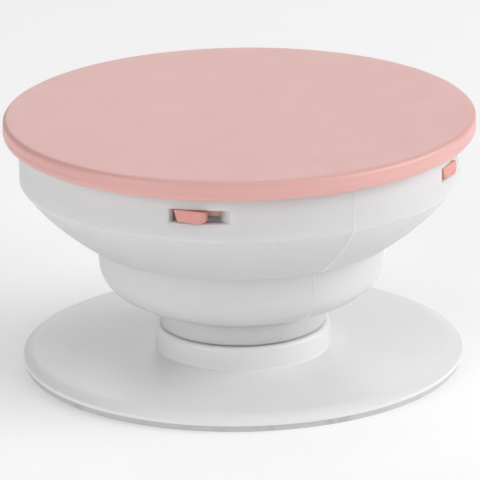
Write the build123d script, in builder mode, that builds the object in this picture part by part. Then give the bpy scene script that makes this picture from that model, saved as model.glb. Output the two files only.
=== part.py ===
"""Collapsible phone grip: a round cap on a folding collar that swivels in a stick-on platform.

The grip is modelled pulled out. +Z runs up through the cap, and the origin is the centre of the
adhesive's underside. The parting plane of the folding collar's mould is the YZ plane, so its two
mould seams lie at -Y and +Y. All sizes are millimetres.

The folding collar is one moulding in elastomer. It is divided here at its living hinges, because
its three stiff rings move as rigid pieces and only the two thin folds between them change shape.
"""

from build123d import *

import os

# --- Cap ---------------------------------------------------------------------------------------
CAP_DIAMETER = 40.0
CAP_THICKNESS = 1.65
CAP_OVERHANG = 1.3  # cap edge beyond the top ring's wall
CAP_TOP_ROUND = 0.3
CAP_UNDER_ROUND = 0.4
CAP_RECESS_DEPTH = 0.45  # pocket under the plate, inside the spigot

SPIGOT_CLEARANCE = 0.1  # spigot to the inside of the top ring
SPIGOT_WALL = 1.0
SPIGOT_DEPTH = 1.9

# --- Folding collar ----------------------------------------------------------------------------
TOP_RING_HEIGHT = 3.85
TOP_RING_WALL = 0.95
UPPER_FOLD_HEIGHT = 4.6
UPPER_FOLD_STEP = 0.08  # small step that marks the upper crease
UPPER_FOLD_BULGE = 0.3  # how far the wall bows out of a straight cone
UPPER_FOLD_WALL = 0.85  # measured level
MIDDLE_RING_DIAMETER = 24.7
MIDDLE_RING_HEIGHT = 3.15
MIDDLE_RING_WALL = 0.9
MIDDLE_RING_TAPER = 0.25  # narrower at its foot, on the radius
MIDDLE_LIP_REACH = 1.05  # underside of the lip, beyond the ring's wall
MIDDLE_LIP_FLARE = 0.5  # how much wider the lip is at its top
MIDDLE_LIP_THICKNESS = 0.35
LOWER_FOLD_HEIGHT = 3.55
LOWER_FOLD_ROOT_SLOPE = 24.0  # degrees above level, where the bowl leaves the neck
LOWER_FOLD_TIP_SLOPE = 78.0  # degrees above level, where it meets the middle ring
LOWER_FOLD_FULLNESS = 0.38  # how far each end's slope carries, as a share of the fold's width
NECK_DIAMETER = 14.2  # at its shoulder
NECK_TAPER = 0.15  # narrower at its top, on the radius
NECK_WALL = 1.35
NECK_RISE = 1.63  # from its shoulder to the root of the bowl

SEAM_WIDTH = 0.22  # mould seam, a fine raised line
SEAM_HEIGHT = 0.05

# --- Windows in the top ring, and the cap's hooks that snap into them -----------------------------
WINDOW_SPREAD = 41.0  # degrees from a mould seam to the windows on each side of it
WINDOW_OPENING = 3.85
WINDOW_HEIGHT = 1.2
WINDOW_ABOVE_CREASE = 1.55
WINDOW_NEAR_BEVEL = 0.4  # side walls slope outwards by these amounts
WINDOW_FAR_BEVEL = 0.9
HOOK_WIDTH = 2.75
HOOK_END_GAP = 0.1  # hook to the near end of its window
HOOK_CLEARANCE = 0.08  # hook to the window's top and bottom edges
HOOK_NEAR_SETBACK = 0.12  # hook face below the ring's outer wall, at its near end
HOOK_FAR_REACH = 0.25  # and how far it stands out of the wall at its far end
HOOK_FAR_ROUND = 0.35  # far outer corner
HOOK_SLANT = 0.35  # how far the hook's near end leans away from the window's
HOOK_LEG_THICKNESS = 0.9

# --- Swivel: the neck's shoulder over the platform's collar, and its foot inside it ----------------
NECK_GAP = 0.15  # open gap between the neck's shoulder and the collar's top
FOOT_STEP = 0.65  # foot's radius under the neck's
FOOT_CLEARANCE = 0.08
BEAD_REACH = 0.3  # snap bead beyond the foot
BEAD_HEIGHT = 0.45
BEAD_CLEARANCE = 0.12

# --- Platform and adhesive -----------------------------------------------------------------------
PLATFORM_DIAMETER = 37.6
FLANGE_THICKNESS = 0.75
RIM_LAND = 0.3  # straight edge under the rounded rim
RIM_ROUND_WIDTH = 1.3
COLLAR_HEIGHT = 1.97
COLLAR_REACH = 0.37  # collar wall beyond the neck's shoulder
COLLAR_TOP_ROUND = 0.35
COLLAR_ROOT_ROUND = 0.15
PAD_THICKNESS = 0.55
PAD_INSET = 0.2  # pad edge in from the platform's

SAME_PLACE = 1e-6  # radii and heights nearer than this are the same

# --- Heights and radii that follow from them ------------------------------------------------------
flange_top = PAD_THICKNESS + FLANGE_THICKNESS
collar_top = flange_top + COLLAR_HEIGHT
neck_shoulder = collar_top + NECK_GAP
neck_top = neck_shoulder + NECK_RISE
middle_bottom = neck_top + LOWER_FOLD_HEIGHT
middle_top = middle_bottom + MIDDLE_RING_HEIGHT
ring_bottom = middle_top + UPPER_FOLD_HEIGHT
ring_top = ring_bottom + TOP_RING_HEIGHT

cap_radius = CAP_DIAMETER / 2
ring_outer = cap_radius - CAP_OVERHANG
ring_inner = ring_outer - TOP_RING_WALL
middle_outer = MIDDLE_RING_DIAMETER / 2
middle_inner = middle_outer - MIDDLE_RING_WALL
middle_foot_outer = middle_outer - MIDDLE_RING_TAPER
middle_foot_inner = middle_inner - MIDDLE_RING_TAPER
lip_bottom = middle_top - MIDDLE_LIP_THICKNESS
lip_bottom_outer = middle_outer + MIDDLE_LIP_REACH
lip_top_outer = lip_bottom_outer + MIDDLE_LIP_FLARE
neck_outer = NECK_DIAMETER / 2
neck_top_outer = neck_outer - NECK_TAPER
neck_inner = neck_top_outer - NECK_WALL
platform_radius = PLATFORM_DIAMETER / 2

seam_angles = (-90, 90)
window_bottom = ring_bottom + WINDOW_ABOVE_CREASE
window_starts = (90 - WINDOW_SPREAD, 90 + WINDOW_SPREAD)  # each has another window opposite


def add_seams(inner, outer, bottom, top):
    """Adds the two mould seams to the ring being built, between two radii and two heights."""
    with BuildSketch(Plane.XY.offset(bottom)) as seam_sketch:
        for angle in seam_angles:
            with PolarLocations(inner, 1, start_angle=angle):
                Rectangle(outer - inner, SEAM_WIDTH, align=(Align.MIN, Align.CENTER))
    extrude(seam_sketch.sketch, amount=top - bottom)


# --- Top ring, with four windows for the cap's hooks ----------------------------------------------
with BuildPart() as top_ring:
    with BuildSketch(Plane.XY.offset(ring_bottom)):
        Circle(ring_outer)
        Circle(ring_inner, mode=Mode.SUBTRACT)
    extrude(amount=TOP_RING_HEIGHT)
    add_seams(ring_outer - TOP_RING_WALL / 2, ring_outer + SEAM_HEIGHT, ring_bottom, ring_top)
    # Each window is cut from one wall's thickness inside the ring to one outside it, and its end
    # walls slope from the ring's inside, so they have twice their bevel where the cut ends.
    window_start_radius = ring_inner - TOP_RING_WALL
    window_run = 3 * TOP_RING_WALL
    with BuildSketch(Plane.XY.offset(window_bottom)):
        for start in window_starts:
            with PolarLocations(window_start_radius, 2, start_angle=start):
                near, far = -WINDOW_OPENING / 2, WINDOW_OPENING / 2
                Polygon(
                    (0, near),
                    (TOP_RING_WALL, near),
                    (window_run, near - 2 * WINDOW_NEAR_BEVEL),
                    (window_run, far + 2 * WINDOW_FAR_BEVEL),
                    (TOP_RING_WALL, far),
                    (0, far),
                    align=None,
                )
    extrude(amount=WINDOW_HEIGHT, mode=Mode.SUBTRACT)
top_ring.part.label = "top_ring"

# --- Upper fold, the wide cone under the top ring -------------------------------------------------
fold_top_outer = ring_outer - UPPER_FOLD_STEP
with BuildPart() as upper_fold:
    with BuildSketch(Plane.XZ):
        with BuildLine():
            low_outer = (lip_top_outer, middle_top)
            low_inner = (lip_top_outer - UPPER_FOLD_WALL, middle_top)
            high_outer = (fold_top_outer, ring_bottom)
            high_inner = (fold_top_outer - UPPER_FOLD_WALL, ring_bottom)
            SagittaArc(low_outer, high_outer, -UPPER_FOLD_BULGE)
            Line(high_outer, high_inner)
            SagittaArc(high_inner, low_inner, UPPER_FOLD_BULGE)
            Line(low_inner, low_outer)
        make_face()
    revolve(axis=Axis.Z)
upper_fold.part.label = "upper_fold"

# --- Middle ring, a stiff wall with a lip that carries the upper fold -------------------------------
with BuildPart() as middle_ring:
    with BuildSketch(Plane.XZ):
        with BuildLine():
            Polyline(
                (middle_foot_inner, middle_bottom),
                (middle_foot_outer, middle_bottom),
                (middle_outer, lip_bottom),
                (lip_bottom_outer, lip_bottom),
                (lip_top_outer, middle_top),
                (middle_inner, middle_top),
                close=True,
            )
        make_face()
    revolve(axis=Axis.Z)
middle_ring.part.label = "middle_ring"

# --- Lower fold, the bowl between the middle ring and the neck --------------------------------------
root_direction = Vector(1, 0).rotate(Axis.Z, LOWER_FOLD_ROOT_SLOPE)
tip_direction = Vector(1, 0).rotate(Axis.Z, LOWER_FOLD_TIP_SLOPE)


def bowl_curve(root_radius, tip_radius):
    """Adds the bowl's outline, from the neck at root_radius up to the middle ring at tip_radius."""
    root = Vector(root_radius, neck_top)
    tip = Vector(tip_radius, middle_bottom)
    reach = (tip - root).length * LOWER_FOLD_FULLNESS
    return Bezier(root, root + root_direction * reach, tip - tip_direction * reach, tip)


with BuildPart() as lower_fold:
    with BuildSketch(Plane.XZ):
        with BuildLine():
            outside = bowl_curve(neck_top_outer, middle_foot_outer)
            inside = bowl_curve(neck_inner, middle_foot_inner)
            Line(outside @ 1, inside @ 1)
            Line(inside @ 0, outside @ 0)
        make_face()
    revolve(axis=Axis.Z)
lower_fold.part.label = "lower_fold"

# --- Neck, with the foot and snap bead that hold it in the platform ---------------------------------
foot_outer = neck_outer - FOOT_STEP
bead_outer = foot_outer + BEAD_REACH
foot_bottom = flange_top + BEAD_CLEARANCE
bead_top = foot_bottom + BEAD_HEIGHT
bead_slope = BEAD_REACH  # the bead's top slopes at 45 degrees

with BuildPart() as neck_ring:
    with BuildSketch(Plane.XZ):
        with BuildLine():
            Polyline(
                (neck_inner, foot_bottom),
                (foot_outer, foot_bottom),
                (bead_outer, foot_bottom + bead_slope),
                (bead_outer, bead_top),
                (foot_outer, bead_top),
                (foot_outer, neck_shoulder),
                (neck_outer, neck_shoulder),
                (neck_top_outer, neck_top),
                (neck_inner, neck_top),
                close=True,
            )
        make_face()
    revolve(axis=Axis.Z)
neck_ring.part.label = "neck_ring"

# --- Hook, a leg that hangs from the cap and ends in a barb; modelled pointing along +X --------------
spigot_outer = ring_inner - SPIGOT_CLEARANCE
spigot_inner = spigot_outer - SPIGOT_WALL
hook_bottom = window_bottom + HOOK_CLEARANCE
hook_height = WINDOW_HEIGHT - 2 * HOOK_CLEARANCE
hook_near_face = ring_outer - HOOK_NEAR_SETBACK
hook_far_face = ring_outer + HOOK_FAR_REACH
hook_near_end = HOOK_END_GAP - WINDOW_OPENING / 2  # measured from its window's middle
hook_far_end = hook_near_end + HOOK_WIDTH

with BuildPart() as hook:
    with BuildSketch(Plane.XY.offset(hook_bottom)):
        with BuildLine():
            Polyline(
                (spigot_inner, hook_near_end),
                (hook_near_face, hook_near_end),
                (hook_far_face, hook_far_end),
                (spigot_inner, hook_far_end),
                close=True,
            )
        make_face()
    extrude(amount=hook_height)
    far_corner = edges().filter_by(Axis.Z).sort_by(Axis.X)[-1]
    fillet(far_corner, HOOK_FAR_ROUND)
    with BuildSketch(Plane.YZ.offset(spigot_inner)):
        Polygon(
            (hook_near_end, hook_bottom),
            (hook_near_end + HOOK_SLANT, hook_bottom),
            (hook_near_end, hook_bottom + hook_height),
            align=None,
        )
    extrude(amount=hook_far_face - spigot_inner, mode=Mode.SUBTRACT)
    with BuildSketch(Plane.YZ.offset(spigot_inner)):
        with Locations((hook_near_end + HOOK_SLANT, hook_bottom)):
            Rectangle(HOOK_WIDTH - HOOK_SLANT, ring_top - hook_bottom, align=Align.MIN)
    extrude(amount=HOOK_LEG_THICKNESS)

# --- Cap, with its spigot and four hooks ------------------------------------------------------------
with BuildPart() as cap_disc:
    with BuildSketch(Plane.XY.offset(ring_top)):
        Circle(cap_radius)
    extrude(amount=CAP_THICKNESS)
    fillet(edges().group_by(Axis.Z)[-1], CAP_TOP_ROUND)
    fillet(edges().group_by(Axis.Z)[0], CAP_UNDER_ROUND)
    with BuildSketch(Plane.XY.offset(ring_top - SPIGOT_DEPTH)):
        Circle(spigot_outer)
        Circle(spigot_inner, mode=Mode.SUBTRACT)
    extrude(amount=SPIGOT_DEPTH)
    with BuildSketch(Plane.XY.offset(ring_top)):
        Circle(spigot_inner)
    extrude(amount=CAP_RECESS_DEPTH, mode=Mode.SUBTRACT)
    for start in window_starts:
        with PolarLocations(0, 2, start_angle=start):
            add(hook.part)
cap_disc.part.label = "cap_disc"

# --- Platform: the flange that sticks to a phone, and the collar that holds the neck ----------------
collar_outer = neck_outer + COLLAR_REACH
bore_radius = foot_outer + FOOT_CLEARANCE
groove_radius = bead_outer + BEAD_CLEARANCE
groove_top = bead_top + BEAD_CLEARANCE
rim_shoulder = platform_radius - RIM_ROUND_WIDTH

with BuildPart() as base_platform:
    with BuildSketch(Plane.XZ):
        with BuildLine():
            rim_start = (rim_shoulder, flange_top)
            rim_end = (platform_radius, PAD_THICKNESS + RIM_LAND)
            Polyline(rim_end, (platform_radius, PAD_THICKNESS), (0, PAD_THICKNESS), (0, flange_top))
            Polyline(
                (0, flange_top),
                (groove_radius, flange_top),
                (groove_radius, groove_top),
                (bore_radius, groove_top),
                (bore_radius, collar_top),
                (collar_outer, collar_top),
                (collar_outer, flange_top),
                rim_start,
            )
            TangentArc(rim_start, rim_end, tangent=(1, 0))
        make_face()
    revolve(axis=Axis.Z)
    collar_top_edges = edges().filter_by(GeomType.CIRCLE).group_by(Axis.Z)[-1]
    fillet(collar_top_edges.sort_by(SortBy.RADIUS)[-1], COLLAR_TOP_ROUND)
    root_edges = edges().filter_by(
        lambda edge: edge.geom_type == GeomType.CIRCLE
        and abs(edge.radius - collar_outer) < SAME_PLACE
        and abs(edge.center().Z - flange_top) < SAME_PLACE
    )
    fillet(root_edges, COLLAR_ROOT_ROUND)
base_platform.part.label = "base_platform"

# --- Adhesive pad -----------------------------------------------------------------------------------
with BuildPart() as adhesive_pad:
    with BuildSketch():
        Circle(platform_radius - PAD_INSET)
    extrude(amount=PAD_THICKNESS)
adhesive_pad.part.label = "adhesive_pad"

pieces = [
    cap_disc,
    top_ring,
    upper_fold,
    middle_ring,
    lower_fold,
    neck_ring,
    base_platform,
    adhesive_pad,
]
os.makedirs("parts", exist_ok=True)
for piece in pieces:
    export_step(piece.part, f"parts/{piece.part.label}.step")
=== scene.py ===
"""Looks of a collapsible phone grip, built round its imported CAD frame.

A pink cap snaps into a white folding collar, whose neck turns in a round stick-on platform. The
collar is one soft moulding with two folds. A mesh can bend across one joint, so the collar is two
meshes here, one for each fold. Outlines are (radius, height) points in millimetres, as are the
sizes below unless a comment says otherwise, and meshes are in metres.
"""

import logging
import math
from collections.abc import Iterable
from dataclasses import dataclass, field
from enum import Enum
from typing import Any

import bmesh
import bpy
from mathutils import Matrix, Vector, noise


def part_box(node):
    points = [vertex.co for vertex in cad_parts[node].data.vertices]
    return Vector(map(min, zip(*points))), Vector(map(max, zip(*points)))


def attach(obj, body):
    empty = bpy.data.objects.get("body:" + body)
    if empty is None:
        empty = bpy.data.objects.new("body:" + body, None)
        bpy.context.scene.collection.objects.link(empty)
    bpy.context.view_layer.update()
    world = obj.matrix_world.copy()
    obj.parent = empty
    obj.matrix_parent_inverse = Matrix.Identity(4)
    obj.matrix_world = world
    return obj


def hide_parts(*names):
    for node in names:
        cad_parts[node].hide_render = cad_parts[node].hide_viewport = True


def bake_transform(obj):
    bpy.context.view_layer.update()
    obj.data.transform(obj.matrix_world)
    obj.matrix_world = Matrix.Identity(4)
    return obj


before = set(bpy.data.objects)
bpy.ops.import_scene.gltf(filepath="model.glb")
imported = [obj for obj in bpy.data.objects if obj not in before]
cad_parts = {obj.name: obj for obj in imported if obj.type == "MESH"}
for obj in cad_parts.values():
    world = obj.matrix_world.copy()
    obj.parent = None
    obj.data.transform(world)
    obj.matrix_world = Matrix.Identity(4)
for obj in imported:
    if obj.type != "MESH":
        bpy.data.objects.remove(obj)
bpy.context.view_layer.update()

MM = 0.001
SAME_PLACE = 1e-7  # metres; vertices nearer than this are one vertex
AT_CORNER = 0.01 * MM  # metres; a vertex this near a corner belongs to it
OUTSIDE_COSINE = 0.2  # least cosine between outwards and a normal on a piece's outside
WALL_RISE = 0.5  # a wall's normal rises less than this
TOP_RISE = 0.9  # a top's normal rises more than this
NOISE_LOW, NOISE_HIGH = 0.3, 0.7  # most of a noise texture's values lie between these
NOISE_SEED = 1  # noise vectors differ from run to run without a seed
log = logging.getLogger("phone_grip")

Outline = list[tuple[float, float]]


# --- Finishes -------------------------------------------------------------------------------------


def linear(hex_colour: str) -> tuple[float, float, float, float]:
    """Turns an sRGB hex colour into linear RGBA.

    Args:
        hex_colour: Six hex digits after a hash.

    Returns:
        Linear red, green and blue, and an alpha of one.
    """
    channels = [int(hex_colour[i : i + 2], 16) / 255 for i in (1, 3, 5)]
    red, green, blue = [c / 12.92 if c <= 0.04045 else ((c + 0.055) / 1.055) ** 2.4 for c in channels]
    return red, green, blue, 1.0


def add_node(
    tree: bpy.types.NodeTree, kind: str, settings: dict[str, Any] | None = None, **inputs: Any
) -> bpy.types.Node:
    """Adds a node with its settings, socket values and links.

    Args:
        tree: The node tree to add to.
        kind: The node's type, such as ShaderNodeBump.
        settings: Values for the node's own properties.
        **inputs: A value or an output socket for each named input, with spaces as underscores. An
            input called by its place is named i0, i1 and so on.

    Returns:
        The new node.
    """
    node = tree.nodes.new(kind)
    for name, value in (settings or {}).items():
        setattr(node, name, value)
    for name, value in inputs.items():
        by_place = name[0] == "i" and name[1:].isdigit()
        socket = node.inputs[int(name[1:])] if by_place else node.inputs[name.replace("_", " ")]
        if isinstance(value, bpy.types.NodeSocket):
            tree.links.new(value, socket)
        else:
            socket.default_value = value
    return node


def new_material(name: str) -> tuple[bpy.types.Material, bpy.types.NodeTree, bpy.types.NodeSocket]:
    """Starts a material with an empty tree.

    Args:
        name: The material's name.

    Returns:
        The material, its tree and the Object coordinates that its patterns read, in metres.
    """
    material = bpy.data.materials.new(name)
    material.use_nodes = True
    material.node_tree.nodes.clear()
    place = add_node(material.node_tree, "ShaderNodeTexCoord").outputs["Object"]
    return material, material.node_tree, place


def per_metre(size_mm: float) -> float:
    """Returns a texture scale whose pattern repeats about once in size_mm."""
    return 1 / (size_mm * MM)


@dataclass(frozen=True)
class MouldedPlastic:
    """A hard thermoplastic such as ABS, injection moulded against a polished steel tool.

    The eye sees an even colour with the faintest cloudiness where the melt met, a satin gloss that
    is a little uneven, a shallow orange peel in the reflections, and a few specks of dust.
    """

    name: str
    colour: str
    cloud_colour: str
    speck_colour: str
    roughness: float
    roughness_spread: float
    cloud_mm: float = 9.0
    peel_mm: float = 0.9
    peel_height_mm: float = 0.004
    grain_mm: float = 0.12
    grain_height_mm: float = 0.0015
    speck_cell_mm: float = 2.5
    speck_radius_mm: float = 0.11
    speck_share: float = 0.3  # share of the cells that hold a speck
    speck_core: float = 0.4  # share of a speck's radius that is fully dark
    wipes_per_cloud: float = 3.0
    ior: float = 1.53

    def build(self) -> bpy.types.Material:
        """Returns the finish as a node material."""
        material, tree, place = new_material(self.name)
        clouds = add_node(
            tree, "ShaderNodeTexNoise", {"noise_dimensions": "3D"},
            Vector=place, Scale=per_metre(self.cloud_mm), Detail=3.0, Roughness=0.55,
        )
        cloudy = add_node(
            tree, "ShaderNodeMix", {"data_type": "RGBA"},
            i0=clouds.outputs["Fac"], i6=linear(self.colour), i7=linear(self.cloud_colour),
        )
        cells = add_node(
            tree, "ShaderNodeTexVoronoi", {"feature": "F1"},
            Vector=place, Scale=per_metre(self.speck_cell_mm), Randomness=1.0,
        )
        speck_edge = self.speck_radius_mm / self.speck_cell_mm
        near = add_node(
            tree, "ShaderNodeMapRange", {"interpolation_type": "SMOOTHSTEP"},
            Value=cells.outputs["Distance"],
            From_Min=speck_edge * self.speck_core, From_Max=speck_edge, To_Min=1.0, To_Max=0.0,
        )
        cell_draw = add_node(tree, "ShaderNodeSeparateColor", {}, Color=cells.outputs["Color"])
        chosen = add_node(
            tree, "ShaderNodeMath", {"operation": "LESS_THAN"},
            i0=cell_draw.outputs["Red"], i1=self.speck_share,
        )
        speck = add_node(
            tree, "ShaderNodeMath", {"operation": "MULTIPLY"},
            i0=near.outputs["Result"], i1=chosen.outputs["Value"],
        )
        colour = add_node(
            tree, "ShaderNodeMix", {"data_type": "RGBA"},
            i0=speck.outputs["Value"], i6=cloudy.outputs[2], i7=linear(self.speck_colour),
        )
        wiped = add_node(
            tree, "ShaderNodeTexNoise", {},
            Vector=place, Scale=per_metre(self.cloud_mm / self.wipes_per_cloud),
            Detail=4.0, Roughness=0.6,
        )
        roughness = add_node(
            tree, "ShaderNodeMapRange", {},
            Value=wiped.outputs["Fac"], From_Min=NOISE_LOW, From_Max=NOISE_HIGH,
            To_Min=self.roughness - self.roughness_spread,
            To_Max=self.roughness + self.roughness_spread,
        )
        peel = add_node(
            tree, "ShaderNodeTexNoise", {}, Vector=place, Scale=per_metre(self.peel_mm), Detail=2.0
        )
        grain = add_node(
            tree, "ShaderNodeTexNoise", {}, Vector=place, Scale=per_metre(self.grain_mm), Detail=2.0
        )
        peel_bump = add_node(
            tree, "ShaderNodeBump", {},
            Height=peel.outputs["Fac"], Distance=self.peel_height_mm * MM, Strength=1.0,
        )
        bump = add_node(
            tree, "ShaderNodeBump", {},
            Height=grain.outputs["Fac"], Distance=self.grain_height_mm * MM, Strength=1.0,
            Normal=peel_bump.outputs["Normal"],
        )
        shader = add_node(
            tree, "ShaderNodeBsdfPrincipled", {},
            Base_Color=colour.outputs[2], Roughness=roughness.outputs["Result"], IOR=self.ior,
            Normal=bump.outputs["Normal"],
        )
        add_node(tree, "ShaderNodeOutputMaterial", {}, Surface=shader.outputs["BSDF"])
        return material


@dataclass(frozen=True)
class MouldedElastomer:
    """Thermoplastic polyurethane, injection moulded against a finely spark-eroded tool.

    The eye sees a milky white that light enters a little way, so its shadows are soft, with a matt
    satin skin, a fine spark texture and slow changes of tone where the wall bends.
    """

    name: str
    colour: str
    deep_colour: str
    roughness: float
    roughness_spread: float = 0.06
    scatter_mm: float = 2.4
    scatter_weight: float = 0.85
    cloud_mm: float = 7.0
    spark_mm: float = 0.16  # a real spark texture is about 0.05 mm; this is as fine as shows
    spark_height_mm: float = 0.003
    ripple_mm: float = 2.2
    ripple_height_mm: float = 0.006
    ior: float = 1.5

    def build(self) -> bpy.types.Material:
        """Returns the finish as a node material."""
        material, tree, place = new_material(self.name)
        clouds = add_node(
            tree, "ShaderNodeTexNoise", {},
            Vector=place, Scale=per_metre(self.cloud_mm), Detail=4.0, Roughness=0.6,
        )
        colour = add_node(
            tree, "ShaderNodeMix", {"data_type": "RGBA"},
            i0=clouds.outputs["Fac"], i6=linear(self.colour), i7=linear(self.deep_colour),
        )
        roughness = add_node(
            tree, "ShaderNodeMapRange", {},
            Value=clouds.outputs["Fac"], From_Min=NOISE_LOW, From_Max=NOISE_HIGH,
            To_Min=self.roughness - self.roughness_spread,
            To_Max=self.roughness + self.roughness_spread,
        )
        ripple = add_node(
            tree, "ShaderNodeTexNoise", {}, Vector=place, Scale=per_metre(self.ripple_mm), Detail=1.0
        )
        spark = add_node(
            tree, "ShaderNodeTexNoise", {},
            Vector=place, Scale=per_metre(self.spark_mm), Detail=3.0, Roughness=0.7,
        )
        ripple_bump = add_node(
            tree, "ShaderNodeBump", {},
            Height=ripple.outputs["Fac"], Distance=self.ripple_height_mm * MM, Strength=1.0,
        )
        bump = add_node(
            tree, "ShaderNodeBump", {},
            Height=spark.outputs["Fac"], Distance=self.spark_height_mm * MM, Strength=1.0,
            Normal=ripple_bump.outputs["Normal"],
        )
        shader = add_node(
            tree, "ShaderNodeBsdfPrincipled", {},
            Base_Color=colour.outputs[2], Roughness=roughness.outputs["Result"], IOR=self.ior,
            Subsurface_Weight=self.scatter_weight, Subsurface_Radius=(1.0, 1.0, 1.0),
            Subsurface_Scale=self.scatter_mm * MM, Normal=bump.outputs["Normal"],
        )
        add_node(tree, "ShaderNodeOutputMaterial", {}, Surface=shader.outputs["BSDF"])
        return material


@dataclass(frozen=True)
class FoamAdhesive:
    """Closed-cell foam tape with acrylic glue on both faces, cut to a disc.

    The eye sees a dull grey-beige edge with fine cut cells and darker flecks where lint has stuck.
    """

    name: str
    colour: str
    lint_colour: str
    cell_mm: float = 0.14
    cell_height_mm: float = 0.03
    lint_mm: float = 3.2
    lint_from: float = 0.5  # noise value where lint begins
    lint_full: float = 0.72  # noise value where it is thickest
    lint_cover: float = 0.45  # share of its colour that shows there
    roughness: float = 0.82
    ior: float = 1.45

    def build(self) -> bpy.types.Material:
        """Returns the finish as a node material."""
        material, tree, place = new_material(self.name)
        cells = add_node(
            tree, "ShaderNodeTexVoronoi", {"feature": "F1"}, Vector=place, Scale=per_metre(self.cell_mm)
        )
        lint = add_node(
            tree, "ShaderNodeTexNoise", {},
            Vector=place, Scale=per_metre(self.lint_mm), Detail=5.0, Roughness=0.7,
        )
        stuck = add_node(
            tree, "ShaderNodeMapRange", {"interpolation_type": "SMOOTHSTEP"},
            Value=lint.outputs["Fac"], From_Min=self.lint_from, From_Max=self.lint_full,
            To_Min=0.0, To_Max=self.lint_cover,
        )
        colour = add_node(
            tree, "ShaderNodeMix", {"data_type": "RGBA"},
            i0=stuck.outputs["Result"], i6=linear(self.colour), i7=linear(self.lint_colour),
        )
        bump = add_node(
            tree, "ShaderNodeBump", {},
            Height=cells.outputs["Distance"], Distance=self.cell_height_mm * MM, Strength=0.8,
        )
        shader = add_node(
            tree, "ShaderNodeBsdfPrincipled", {},
            Base_Color=colour.outputs[2], Roughness=self.roughness, IOR=self.ior,
            Normal=bump.outputs["Normal"],
        )
        add_node(tree, "ShaderNodeOutputMaterial", {}, Surface=shader.outputs["BSDF"])
        return material


@dataclass(frozen=True)
class StudioPaper:
    """Seamless white background paper, lit a little from beneath, so it stays pale and even."""

    name: str
    colour: str
    glow: float
    fibre_mm: float = 1.4
    fibre_height_mm: float = 0.01
    roughness: float = 0.9

    def build(self) -> bpy.types.Material:
        """Returns the finish as a node material."""
        material, tree, place = new_material(self.name)
        fibres = add_node(
            tree, "ShaderNodeTexNoise", {}, Vector=place, Scale=per_metre(self.fibre_mm), Detail=3.0
        )
        bump = add_node(
            tree, "ShaderNodeBump", {},
            Height=fibres.outputs["Fac"], Distance=self.fibre_height_mm * MM, Strength=0.3,
        )
        shader = add_node(
            tree, "ShaderNodeBsdfPrincipled", {},
            Base_Color=linear(self.colour), Roughness=self.roughness, Normal=bump.outputs["Normal"],
            Emission_Color=linear(self.colour), Emission_Strength=self.glow,
        )
        add_node(tree, "ShaderNodeOutputMaterial", {}, Surface=shader.outputs["BSDF"])
        return material


class Finish(Enum):
    """The finishes on this grip, each made once and shared."""

    PINK_ABS = MouldedPlastic(
        "satin_pink_abs", colour="#E6B0AA", cloud_colour="#E4ADA7", speck_colour="#8C5A4E",
        roughness=0.36, roughness_spread=0.04,
    )
    BROKEN_PINK_ABS = MouldedPlastic(
        "broken_pink_abs", colour="#E8A8A0", cloud_colour="#D9958D", speck_colour="#9A5A50",
        roughness=0.55, roughness_spread=0.1, cloud_mm=0.6, peel_mm=0.25, peel_height_mm=0.03,
        speck_share=0.0,
    )
    WHITE_TPU = MouldedElastomer(
        "satin_white_tpu", colour="#E2E2E2", deep_colour="#DEDEDF", roughness=0.5
    )
    WHITE_ABS = MouldedPlastic(
        "satin_white_abs", colour="#EEEEEE", cloud_colour="#EBEBEB", speck_colour="#9C9C9C",
        roughness=0.34, roughness_spread=0.05, speck_share=0.06,
    )
    FOAM = FoamAdhesive("foam_adhesive", colour="#CFCDCC", lint_colour="#9E9691")
    PAPER = StudioPaper("studio_paper", colour="#FAFAFA", glow=0.13)

    def material(self) -> bpy.types.Material:
        """Returns the finish's material, built the first time it is asked for."""
        return bpy.data.materials.get(self.value.name) or self.value.build()


# --- Mesh work ------------------------------------------------------------------------------------


def spin_outline(outline: Outline, steps: int, meets_axis: bool = False) -> bmesh.types.BMesh:
    """Turns an outline about +Z into a closed skin.

    Args:
        outline: The section's (radius, height) points, in millimetres.
        steps: How many columns of faces go round.
        meets_axis: Whether the outline starts and ends on the axis, and so isn't joined up.

    Returns:
        The skin, with its faces pointing outwards.
    """
    skin = bmesh.new()
    points = [skin.verts.new((radius * MM, 0.0, height * MM)) for radius, height in outline]
    following = points[1:] if meets_axis else points[1:] + points[:1]
    lines = [skin.edges.new(pair) for pair in zip(points, following)]
    bmesh.ops.spin(
        skin, geom=points + lines, cent=(0, 0, 0), axis=(0, 0, 1),
        angle=math.tau, steps=steps, use_merge=True,
    )
    bmesh.ops.remove_doubles(skin, verts=skin.verts, dist=SAME_PLACE)
    bmesh.ops.recalc_face_normals(skin, faces=skin.faces)
    return skin


def ring_edges(skin: bmesh.types.BMesh, radius: float, height: float) -> list[bmesh.types.BMEdge]:
    """Finds the edges that run round a turned piece at one corner of its outline.

    Args:
        skin: The turned piece.
        radius: The corner's radius, in millimetres.
        height: The corner's height, in millimetres.

    Returns:
        The edges of that ring.
    """
    def on_ring(vertex: bmesh.types.BMVert) -> bool:
        """Says whether a vertex lies on the ring."""
        off_radius = abs(vertex.co.xy.length - radius * MM)
        return off_radius < AT_CORNER and abs(vertex.co.z - height * MM) < AT_CORNER

    return [edge for edge in skin.edges if all(on_ring(vertex) for vertex in edge.verts)]


def round_over(
    skin: bmesh.types.BMesh, edges: list[bmesh.types.BMEdge], radius: float, segments: int
) -> None:
    """Rounds edges over.

    Args:
        skin: The mesh that the edges belong to.
        edges: The edges to round.
        radius: How far in the rounding starts, in millimetres.
        segments: How many faces make up the round.
    """
    bmesh.ops.bevel(
        skin, geom=edges, offset=radius * MM, offset_type="OFFSET", segments=segments, profile=0.5,
        affect="EDGES", material=-1, clamp_overlap=True,
    )


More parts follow.
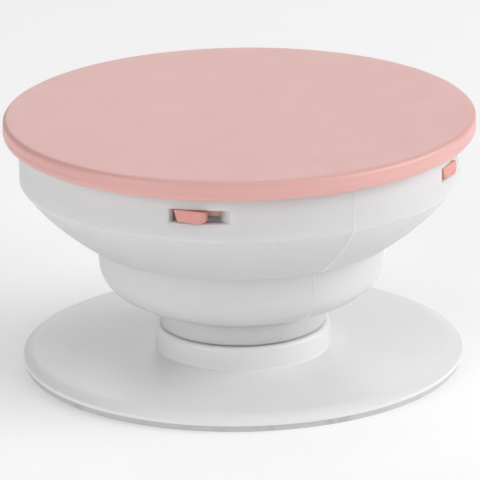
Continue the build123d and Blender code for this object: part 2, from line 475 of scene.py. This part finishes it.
def round_rings(skin: bmesh.types.BMesh, rings: Iterable[tuple[float, float, float, int]]) -> None:
    """Rounds a turned piece's corners over, one ring after another.

    Args:
        skin: The turned piece.
        rings: Each corner's radius and height, its rounding, all in millimetres, and its segments.
    """
    for radius, height, rounding, segments in rings:
        round_over(skin, ring_edges(skin, radius, height), rounding, segments)


def raise_seams(skin: bmesh.types.BMesh, width: float, height: float) -> None:
    """Raises the two fine mould seams on a turned piece's outside, at -Y and +Y.

    Args:
        skin: The turned piece, with a column of vertices at each seam.
        width: The seam's width, in millimetres.
        height: How far its middle stands out, in millimetres.
    """
    for side in (-1, 1):
        bmesh.ops.bisect_plane(
            skin, geom=skin.verts[:] + skin.edges[:] + skin.faces[:], dist=SAME_PLACE,
            plane_co=(side * width / 2 * MM, 0, 0), plane_no=(1, 0, 0),
        )
    skin.normal_update()
    for vertex in skin.verts:
        outwards = Vector((0, math.copysign(1, vertex.co.y), 0))
        if abs(vertex.co.x) < SAME_PLACE and vertex.normal.dot(outwards) > OUTSIDE_COSINE:
            vertex.co += vertex.normal * height * MM


def finish_piece(
    name: str, skin: bmesh.types.BMesh, finish: Finish, sharp_over: float = 40.0
) -> bpy.types.Object:
    """Makes a finished object from a skin.

    Args:
        name: The piece's name.
        skin: Its mesh, which is freed.
        finish: What it is made of.
        sharp_over: The angle in degrees past which an edge shows as sharp.

    Returns:
        The new object, at the origin.
    """
    skin.normal_update()
    for face in skin.faces:
        face.smooth = True
    for edge in skin.edges:
        edge.smooth = edge.calc_face_angle(0.0) < math.radians(sharp_over)
    mesh = bpy.data.meshes.new(name)
    skin.to_mesh(mesh)
    skin.free()
    mesh.materials.append(finish.material())
    piece = bpy.data.objects.new(name, mesh)
    bpy.context.scene.collection.objects.link(piece)
    log.info("%s: %d faces, %s", name, len(mesh.polygons), finish.value.name)
    return piece


def levels(node: str) -> tuple[float, float, float]:
    """Reads a CAD node's place.

    Args:
        node: The node's name.

    Returns:
        Its lowest height, its highest height and its widest radius, in millimetres.
    """
    low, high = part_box(node)
    return low.z / MM, high.z / MM, high.x / MM


# --- The object -----------------------------------------------------------------------------------


@dataclass
class Cap:
    """The pink plate, with the spigot ring and the four hooks that snap into the collar."""

    columns: int = 240
    rim_inset: float = 0.02  # rim behind its own parting line, which sets the full radius
    parting_height: float = 0.6
    parting_width: float = 0.1
    top_round: float = 0.42
    under_round: float = 0.46
    hold: float = 0.5  # flat kept beside a rounded edge
    spigot_inner: float = 16.65
    spigot_outer: float = 17.65
    spigot_depth: float = 1.9
    recess_depth: float = 0.45
    thickness: float = 1.65
    edge_round: float = 0.08
    inner_round: float = 0.35  # on the spigot's inner edge, clear of the fold when it turns over

    def __post_init__(self) -> None:
        """Reads the plate's place from the frame."""
        self.hook_bottom, self.top, self.radius = levels("cap_disc")
        self.underside = self.top - self.thickness

    def outline(self) -> Outline:
        """Returns the plate's half section, from the middle of its face to the middle of its back."""
        rim = self.radius - self.rim_inset
        parting = self.underside + self.parting_height
        half = self.parting_width / 2
        spigot_bottom = self.underside - self.spigot_depth
        recess = self.underside + self.recess_depth
        return [
            (0.0, self.top),
            (rim / 2, self.top),
            (rim - self.top_round - self.hold, self.top),
            (rim, self.top),
            (rim, parting + half + self.hold / 2),
            (rim, parting + half),
            (self.radius, parting),
            (rim, parting - half),
            (rim, self.underside),
            (rim - self.under_round - self.hold, self.underside),
            (self.spigot_outer, self.underside),
            (self.spigot_outer, spigot_bottom),
            (self.spigot_inner, spigot_bottom),
            (self.spigot_inner, recess),
            (0.0, recess),
        ]

    def build_plate(self) -> bpy.types.Object:
        """Returns the plate with its spigot ring, riding on the cap."""
        skin = spin_outline(self.outline(), self.columns, meets_axis=True)
        rim = self.radius - self.rim_inset
        spigot_bottom = self.underside - self.spigot_depth
        round_rings(skin, (
            (rim, self.top, self.top_round, 5),
            (rim, self.underside, self.under_round, 4),
            (self.spigot_outer, spigot_bottom, self.edge_round, 2),
            (self.spigot_inner, spigot_bottom, self.inner_round, 3),
        ))
        return finish_piece("cap_plate", skin, Finish.PINK_ABS)


@dataclass
class Hook:
    """One snap hook: a foot under the spigot ring and a barb that stands in the collar's window.

    The barb's face slopes out of the window towards its rounded far end. It was broken from its
    runner there, so it is rough, and a burr hangs from its far corner.
    """

    number: int
    window_angle: float  # degrees round +Z of its window's middle
    cap: Cap
    near_end: float = -1.825  # both ends are measured along the window, from its middle
    far_end: float = 0.925
    height: float = 1.04
    near_face: float = 18.58
    far_face: float = 18.95
    far_round: float = 0.33
    slant: float = 0.34  # how far the near end's bottom is drawn in towards the far end
    foot_inset: float = 0.45  # foot's inner face, out from the spigot's
    step: float = 0.03  # clear of the spigot ring, which it joins on the real moulding
    edge_round: float = 0.06
    sharp_corner: float = 35.0  # degrees; edges that turn further are rounded
    shading_corner: float = 60.0  # degrees; edges that turn further show as sharp
    cuts: int = 5
    roughness: float = 0.035
    rough_depth: float = 0.12  # how far behind the barb's face its surface is rough
    rough_along: float = 0.4  # share of the roughness that runs along the window
    lump_size: float = 0.45
    lump_shift: float = 7.3  # between hooks in the noise, so that no two break alike
    tip_share: float = 0.3  # of the barb's length, over which its height tapers
    tip_lift: float = 0.22
    tip_droop: float = 0.08
    burr_from: float = 0.5  # the burr's ends, as shares of the barb's length
    burr_to: float = 0.9
    burr_level: float = 0.72  # how far down the barb it begins
    burr_reach: float = 0.09
    burr_fullness: float = 1.2  # of its reach, before its random share
    burr_drop: float = 0.045

    def build(self) -> bpy.types.Object:
        """Returns the hook, turned to its window."""
        skin = self.barb()
        low, high = self.near_end * MM, self.far_end * MM
        far_corner = [
            edge for edge in skin.edges
            if all(vertex.co.x > self.far_face * MM - AT_CORNER and vertex.co.y > high - SAME_PLACE
                   for vertex in edge.verts)
        ]
        round_over(skin, far_corner, self.far_round, segments=4)
        for vertex in skin.verts:
            if vertex.co.y < low + SAME_PLACE:
                vertex.co.y += self.slant * self.low_share(vertex) * MM
        least = math.radians(self.sharp_corner)
        sharp = [edge for edge in skin.edges if edge.calc_face_angle(0.0) > least]
        round_over(skin, sharp, self.edge_round, segments=2)
        past_heel = (self.cap.spigot_outer + 2 * self.step) * MM
        outer = [edge for edge in skin.edges if all(v.co.x > past_heel for v in edge.verts)]
        bmesh.ops.subdivide_edges(skin, edges=outer, cuts=self.cuts, use_grid_fill=True)
        bmesh.ops.recalc_face_normals(skin, faces=skin.faces)
        self.roughen(skin)
        bmesh.ops.rotate(
            skin, cent=(0, 0, 0), verts=skin.verts,
            matrix=Matrix.Rotation(math.radians(self.window_angle), 3, "Z"),
        )
        return finish_piece(
            f"cap_hook_{self.number}", skin, Finish.BROKEN_PINK_ABS,
            sharp_over=self.shading_corner,
        )

    def barb(self) -> bmesh.types.BMesh:
        """Returns the foot and the taller barb in front of it, pointing along +X."""
        bottom = self.cap.hook_bottom
        foot_top = self.cap.underside - self.cap.spigot_depth - self.step
        inner = self.cap.spigot_inner + self.foot_inset
        skin = bmesh.new()
        bmesh.ops.create_cube(skin, size=1.0)
        size = Vector((self.far_face - inner, self.far_end - self.near_end, foot_top - bottom))
        corner = Vector((inner, self.near_end, bottom))
        bmesh.ops.scale(skin, vec=size * MM, verts=skin.verts)
        bmesh.ops.translate(skin, vec=(corner + size / 2) * MM, verts=skin.verts)
        for vertex in skin.verts:
            at_near_end = vertex.co.y < self.near_end * MM + AT_CORNER
            if at_near_end and vertex.co.x > inner * MM + AT_CORNER:
                vertex.co.x = self.near_face * MM
        heel = (self.cap.spigot_outer + self.step) * MM
        bmesh.ops.bisect_plane(
            skin, geom=skin.verts[:] + skin.edges[:] + skin.faces[:], dist=SAME_PLACE,
            plane_co=(heel, 0, 0), plane_no=(1, 0, 0),
        )
        skin.normal_update()
        tops = [f for f in skin.faces if f.normal.z > TOP_RISE and f.calc_center_median().x > heel]
        raised = bmesh.ops.extrude_face_region(skin, geom=tops)["geom"]
        bmesh.ops.delete(skin, geom=tops, context="FACES")
        lifted = [item for item in raised if isinstance(item, bmesh.types.BMVert)]
        bmesh.ops.translate(skin, vec=(0, 0, (bottom + self.height - foot_top) * MM), verts=lifted)
        bmesh.ops.recalc_face_normals(skin, faces=skin.faces)
        return skin

    def low_share(self, vertex: bmesh.types.BMVert) -> float:
        """Returns how far down the barb a vertex lies, from 0 at its top to 1 at its bottom."""
        return 1 - (vertex.co.z / MM - self.cap.hook_bottom) / self.height

    def roughen(self, skin: bmesh.types.BMesh) -> None:
        """Tapers the barb's tip, breaks up its face and draws the burr out of its lower far corner.

        Args:
            skin: The hook, still pointing along +X.
        """
        noise.seed_set(NOISE_SEED)
        run = self.far_end - self.near_end
        shift = Vector((self.number * self.lump_shift, 0, 0))
        for vertex in skin.verts:
            along = (vertex.co.y / MM - self.near_end) / run
            low = self.low_share(vertex)
            if vertex.co.x > self.cap.spigot_outer * MM:
                tip = max(0.0, along - 1 + self.tip_share) / self.tip_share
                vertex.co.z += tip**2 * (self.tip_lift * low - self.tip_droop * (1 - low)) * MM
            face = self.near_face + (self.far_face - self.near_face) * along
            if vertex.co.x < (face - self.rough_depth) * MM:
                continue
            draw = noise.noise_vector(vertex.co / (self.lump_size * MM) + shift)
            rough = Vector((draw.x, draw.y * self.rough_along, draw.z))
            vertex.co += rough * self.roughness * MM
            if self.burr_from < along < self.burr_to:
                swell = math.sin(math.pi * (along - self.burr_from) / (self.burr_to - self.burr_from))
                burr = max(0.0, low - self.burr_level) / (1 - self.burr_level) * swell
                vertex.co.x += burr * self.burr_reach * MM * (self.burr_fullness + draw.y)
                vertex.co.z -= burr * self.burr_drop * MM * (1 + draw.x)


@dataclass
class UpperCollar:
    """The top ring with its four windows, the upper fold, and the lip of the middle ring."""

    columns: int = 360  # one to a degree, so the windows' edges fall on columns
    ring_wall: float = 0.95
    fold_wall: float = 0.85
    fold_levels: int = 18
    bulge: float = 0.3
    lip_thickness: float = 0.35
    lip_flare: float = 0.5
    lip_root: float = 11.45  # inside of the middle ring
    lip_round: float = 0.07
    cap_gap: float = 0.03
    crease_depth: float = 0.06
    crease_half: float = 0.05  # height of the crease's groove, to each side of its bottom
    crease_round: float = 0.04
    crease_margin: float = 0.4  # flat kept above the crease
    window_margin: float = 0.3  # flat kept above and below a window
    rim_margin: float = 0.25  # flat kept under the ring's top edge
    rim_round: float = 0.1
    window_angles: tuple[int, ...] = (49, 131, 229, 311)  # degrees round +Z
    window_outside: tuple[int, int] = (-7, 9)  # degrees from the window's middle
    window_inside: tuple[int, int] = (-6, 6)
    window_above_crease: float = 1.55
    window_height: float = 1.2
    window_round: float = 0.06
    seam_width: float = 0.17
    seam_height: float = 0.085

    def __post_init__(self) -> None:
        """Reads the ring's and the fold's places from the frame."""
        self.bottom, self.top, self.radius = levels("top_ring")
        self.fold_bottom, _, self.fold_radius = levels("upper_fold")
        _, _, self.lip_radius = levels("middle_ring")
        self.sill = self.bottom + self.window_above_crease
        self.lintel = self.sill + self.window_height

    def fold_line(self, inset: float) -> Outline:
        """Returns a shallow arc up the fold, at evenly spaced heights.

        Args:
            inset: How far in from the fold's outside, measured level, in millimetres.
        """
        line = []
        rise = self.bottom - self.fold_bottom
        run = self.fold_radius - self.lip_radius
        bow = self.bulge * math.hypot(rise, run) / rise
        for i in range(self.fold_levels + 1):
            share = i / self.fold_levels
            radius = self.lip_radius + run * share + 4 * bow * share * (1 - share)
            line.append((radius - inset, self.fold_bottom + rise * share))
        return line

    def outline(self) -> Outline:
        """Returns the section, up the outside and down the inside."""
        lip_bottom = self.fold_bottom - self.lip_thickness
        ring_top = self.top - self.cap_gap
        inside = self.radius - self.ring_wall
        outside_line = self.fold_line(0.0)
        inside_line = self.fold_line(self.fold_wall)[::-1]
        return [
            (self.lip_root, lip_bottom),
            (self.lip_radius - self.lip_flare, lip_bottom),
            *outside_line[:-1],
            (self.fold_radius, self.bottom - self.crease_half),
            (self.fold_radius - self.crease_depth, self.bottom),
            (self.radius, self.bottom + self.crease_half),
            (self.radius, self.bottom + self.crease_margin),
            (self.radius, self.sill - self.window_margin),
            (self.radius, self.sill),
            (self.radius, self.lintel),
            (self.radius, self.lintel + self.window_margin),
            (self.radius, ring_top - self.rim_margin),
            (self.radius, ring_top),
            (inside, ring_top),
            (inside, self.lintel),
            (inside, self.sill),
            *inside_line,
            (self.lip_root, self.fold_bottom),
        ]

    def cut_window(self, skin: bmesh.types.BMesh, angle: int) -> None:
        """Cuts one window, whose end walls slope outwards.

        Args:
            skin: The collar, with columns at each degree.
            angle: Where the window's middle is, in degrees round +Z.
        """
        first, last = self.window_outside
        middle = Vector((math.cos(math.radians(angle)), math.sin(math.radians(angle)), 0.0))

        def turn(point: Vector) -> float:
            """Returns how far a point lies round from the window's middle, in degrees."""
            return math.degrees(math.atan2(middle.cross(point).z, middle.dot(point)))

        def in_window(face: bmesh.types.BMFace) -> bool:
            """Says whether a face of either wall lies in the window."""
            centre = face.calc_center_median()
            level = self.sill * MM < centre.z < self.lintel * MM
            return level and abs(face.normal.z) < WALL_RISE and first < turn(centre) < last

        skin.normal_update()
        bmesh.ops.delete(skin, geom=[f for f in skin.faces if in_window(f)], context="FACES")
        rim = [e for e in skin.edges if e.is_boundary]
        bmesh.ops.bridge_loops(skin, edges=rim)
        inside_mid = (self.radius - self.ring_wall / 2) * MM
        near, far = self.window_inside
        for vertex in {v for e in rim for v in e.verts}:
            if vertex.co.xy.length < inside_mid:
                place = turn(vertex.co)
                wanted = near + (place - first) * (far - near) / (last - first)
                swing = Matrix.Rotation(math.radians(wanted - place), 3, "Z")
                bmesh.ops.rotate(skin, cent=(0, 0, 0), matrix=swing, verts=[vertex])
        round_over(skin, rim, self.window_round, segments=2)

    def build(self) -> bpy.types.Object:
        """Returns the upper collar, which runs from the middle ring to the top ring."""
        skin = spin_outline(self.outline(), self.columns)
        for angle in self.window_angles:
            self.cut_window(skin, angle)
        lip_bottom = self.fold_bottom - self.lip_thickness
        round_rings(skin, (
            (self.lip_radius - self.lip_flare, lip_bottom, self.lip_round, 2),
            (self.radius, self.bottom + self.crease_half, self.crease_round, 2),
            (self.radius, self.top - self.cap_gap, self.rim_round, 3),
        ))
        raise_seams(skin, self.seam_width, self.seam_height)
        return finish_piece("collar_upper", skin, Finish.WHITE_TPU)


@dataclass
class LowerCollar:
    """The middle ring's wall, the bowl-shaped lower fold, and the neck with its snap bead."""

    columns: int = 240
    wall: float = 0.9
    neck_wall: float = 1.35
    neck_taper: float = 0.15  # narrower at its top, on the radius
    neck_gap: float = 0.15  # open gap between the neck's shoulder and the platform's collar
    shoulder_round: float = 0.1
    taper: float = 0.25  # of the middle ring, wider at its top, on the radius
    fold_levels: int = 22
    root_slope: float = 24.0  # degrees; how steeply the bowl leaves the neck
    tip_slope: float = 78.0  # degrees; how steeply it meets the middle ring
    fullness: float = 0.38  # the bowl's guide lengths, as a share of its span
    foot_step: float = 0.65
    bead_reach: float = 0.3
    bead_height: float = 0.45
    lip_thickness: float = 0.35
    seam_width: float = 0.16
    seam_height: float = 0.08

    def __post_init__(self) -> None:
        """Reads the neck's, the fold's and the middle ring's places from the frame."""
        self.foot, self.neck_top, self.neck_radius = levels("neck_ring")
        _, platform_top, _ = levels("base_platform")
        _, self.fold_top, self.fold_radius = levels("lower_fold")
        _, middle_top, _ = levels("middle_ring")
        self.shoulder = platform_top + self.neck_gap
        self.root_radius = self.neck_radius - self.neck_taper
        self.top = middle_top - self.lip_thickness

    def bowl(self) -> Outline:
        """Returns the bowl's outside, a cubic curve from the neck up to the middle ring."""
        root = Vector((self.root_radius, self.neck_top))
        tip = Vector((self.fold_radius, self.fold_top))
        reach = (tip - root).length * self.fullness
        slopes = (math.radians(self.root_slope), math.radians(self.tip_slope))
        leaving, arriving = (Vector((math.cos(slope), math.sin(slope))) for slope in slopes)
        guide_low = root + leaving * reach
        guide_high = tip - arriving * reach
        points = []
        for i in range(self.fold_levels + 1):
            t = i / self.fold_levels
            s = 1 - t
            place = root * s**3 + guide_low * (3 * s * s * t) + guide_high * (3 * s * t * t) + tip * t**3
            points.append((place.x, place.y))
        return points

    def outline(self) -> Outline:
        """Returns the section, up the outside and down the inside at the same heights."""
        foot_radius = self.neck_radius - self.foot_step
        bead_radius = foot_radius + self.bead_reach
        bead_top = self.foot + self.bead_height
        bore = self.root_radius - self.neck_wall
        outside = self.bowl()
        inside = []
        for radius, height in outside[::-1]:
            share = (height - self.neck_top) / (self.fold_top - self.neck_top)
            inside.append((radius - self.neck_wall + (self.neck_wall - self.wall) * share, height))
        return [
            (bore, self.foot),
            (foot_radius, self.foot),
            (bead_radius, self.foot + self.bead_reach),
            (bead_radius, bead_top),
            (foot_radius, bead_top),
            (foot_radius, self.shoulder),
            (self.neck_radius, self.shoulder),
            ((self.neck_radius + self.root_radius) / 2, (self.shoulder + self.neck_top) / 2),
            *outside,
            (self.fold_radius + self.taper / 2, (self.fold_top + self.top) / 2),
            (self.fold_radius + self.taper, self.top),
            (self.fold_radius + self.taper - self.wall, self.top),
            *inside,
        ]

    def build(self) -> bpy.types.Object:
        """Returns the lower collar, which runs from the neck to the middle ring."""
        skin = spin_outline(self.outline(), self.columns)
        round_rings(skin, [(self.neck_radius, self.shoulder, self.shoulder_round, 3)])
        raise_seams(skin, self.seam_width, self.seam_height)
        return finish_piece("collar_lower", skin, Finish.WHITE_TPU)


@dataclass
class PhoneGrip:
    """The whole grip, put together on its CAD bodies."""

    cap: Cap = field(default_factory=Cap)
    upper: UpperCollar = field(default_factory=UpperCollar)
    lower: LowerCollar = field(default_factory=LowerCollar)

    def build_cap(self) -> None:
        """Makes the plate and its four hooks, riding on the cap."""
        plate = self.cap.build_plate()
        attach(plate, "cap")
        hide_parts("cap_disc")
        for number, angle in enumerate(self.upper.window_angles, start=1):
            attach(Hook(number, angle, self.cap).build(), "cap")

    def build_collar(self) -> None:
        """Makes the two halves of the collar, one for each fold."""
        upper = self.upper.build()
        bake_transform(upper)
        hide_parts("upper_fold", "top_ring")
        lower = self.lower.build()
        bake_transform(lower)
        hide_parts("neck_ring", "lower_fold", "middle_ring")

    def dress_platform(self) -> None:
        """Gives the platform and its adhesive, which keep their CAD shapes, their finishes."""
        for node, finish in (("base_platform", Finish.WHITE_ABS), ("adhesive_pad", Finish.FOAM)):
            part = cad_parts[node]
            part.data.materials.clear()
            part.data.materials.append(finish.material())
            log.info("%s: %s", node, finish.value.name)


# --- Studio ---------------------------------------------------------------------------------------


@dataclass
class Softbox:
    """A soft square light that faces the grip. Its place and size are in metres."""

    name: str
    aside: float  # to the camera's right of the grip
    towards: float  # from the grip towards the camera
    height: float
    size: float
    power: float  # watts
    colour: str = "#FFFFFF"


@dataclass
class Studio:
    """A pale floor, soft lights and a long-lens camera. Places are in metres, turns in degrees."""

    azimuth: float = -29.5
    elevation: float = 18.3
    roll: float = -0.95
    distance: float = 0.4076
    lens: float = 359.0  # millimetres, as is the sensor
    sensor: float = 36.0
    clip: tuple[float, float] = (0.01, 20.0)
    target_height: float = 0.01045
    target_aside: float = -0.00011
    floor_radius: float = 2.5
    floor_sides: int = 128
    sky: float = 0.12
    sky_colour: str = "#FFFFFF"
    boxes: tuple[Softbox, ...] = (
        Softbox("key_softbox", 0.6, 0.2, 0.35, 0.5, 2.45),
        Softbox("side_softbox", 0.7, -0.15, 0.3, 0.4, 1.7),
        Softbox("left_fill", -0.54, 0.4, 0.27, 0.5, 1.85),
        Softbox("front_fill", 0.0, 0.8, 0.1, 0.4, 0.62),
        Softbox("top_softbox", 0.0, 0.0, 0.9, 0.8, 2.3),
        Softbox("back_panel", 0.0, -1.0, 0.45, 1.2, 1.55),
        Softbox("back_strip", 0.0, -0.8, 0.28, 0.45, 0.53),
    )

    def axes(self) -> tuple[Vector, Vector]:
        """Returns the level directions to the camera's right and towards the camera."""
        turn = math.radians(self.azimuth)
        return Vector((math.cos(turn), math.sin(turn), 0)), Vector((math.sin(turn), -math.cos(turn), 0))

    def place_camera(self) -> None:
        """Makes the scene's camera."""
        right, towards = self.axes()
        lift = math.radians(self.elevation)
        back = towards * math.cos(lift) + Vector((0, 0, math.sin(lift)))
        up = back.cross(right)
        lean = math.radians(self.roll)
        across = right * math.cos(lean) + up * math.sin(lean)
        upright = up * math.cos(lean) - right * math.sin(lean)
        data = bpy.data.cameras.new("camera")
        data.lens, data.sensor_width = self.lens, self.sensor
        data.clip_start, data.clip_end = self.clip
        camera = bpy.data.objects.new("camera", data)
        bpy.context.scene.collection.objects.link(camera)
        place = right * self.target_aside + Vector((0, 0, self.target_height)) + back * self.distance
        turn = Matrix((across, upright, back)).transposed().to_4x4()
        camera.matrix_world = Matrix.Translation(place) @ turn
        bpy.context.scene.camera = camera

    def hang_lights(self) -> None:
        """Makes the softboxes, each facing the grip, and an even sky."""
        right, towards = self.axes()
        aim = Vector((0, 0, self.target_height))
        for box in self.boxes:
            data = bpy.data.lights.new(box.name, "AREA")
            data.shape, data.size, data.energy = "SQUARE", box.size, box.power
            data.color = linear(box.colour)[:3]
            light = bpy.data.objects.new(box.name, data)
            bpy.context.scene.collection.objects.link(light)
            light.location = right * box.aside + towards * box.towards + Vector((0, 0, box.height))
            light.rotation_euler = (light.location - aim).to_track_quat("Z", "Y").to_euler()
            light.visible_camera = False
        world = bpy.data.worlds.new("studio_sky")
        world.use_nodes = True
        background = world.node_tree.nodes["Background"]
        background.inputs["Color"].default_value = linear(self.sky_colour)
        background.inputs["Strength"].default_value = self.sky
        bpy.context.scene.world = world

    def lay_floor(self) -> None:
        """Makes the round pale floor that the grip stands on."""
        skin = bmesh.new()
        bmesh.ops.create_circle(
            skin, cap_ends=True, segments=self.floor_sides, radius=self.floor_radius
        )
        mesh = bpy.data.meshes.new("floor")
        skin.to_mesh(mesh)
        skin.free()
        mesh.materials.append(Finish.PAPER.material())
        floor = bpy.data.objects.new("floor", mesh)
        bpy.context.scene.collection.objects.link(floor)

    def build(self) -> None:
        """Sets up the camera, lights, floor and colour handling."""
        self.place_camera()
        self.hang_lights()
        self.lay_floor()
        bpy.context.scene.view_settings.view_transform = "Standard"


def main() -> None:
    """Builds the studio and the grip, and reports each piece."""
    logging.basicConfig(level=logging.INFO, format="%(message)s", force=True)
    Studio().build()
    grip = PhoneGrip()
    grip.build_cap()
    grip.build_collar()
    grip.dress_platform()


if __name__ == "__main__":
    main()
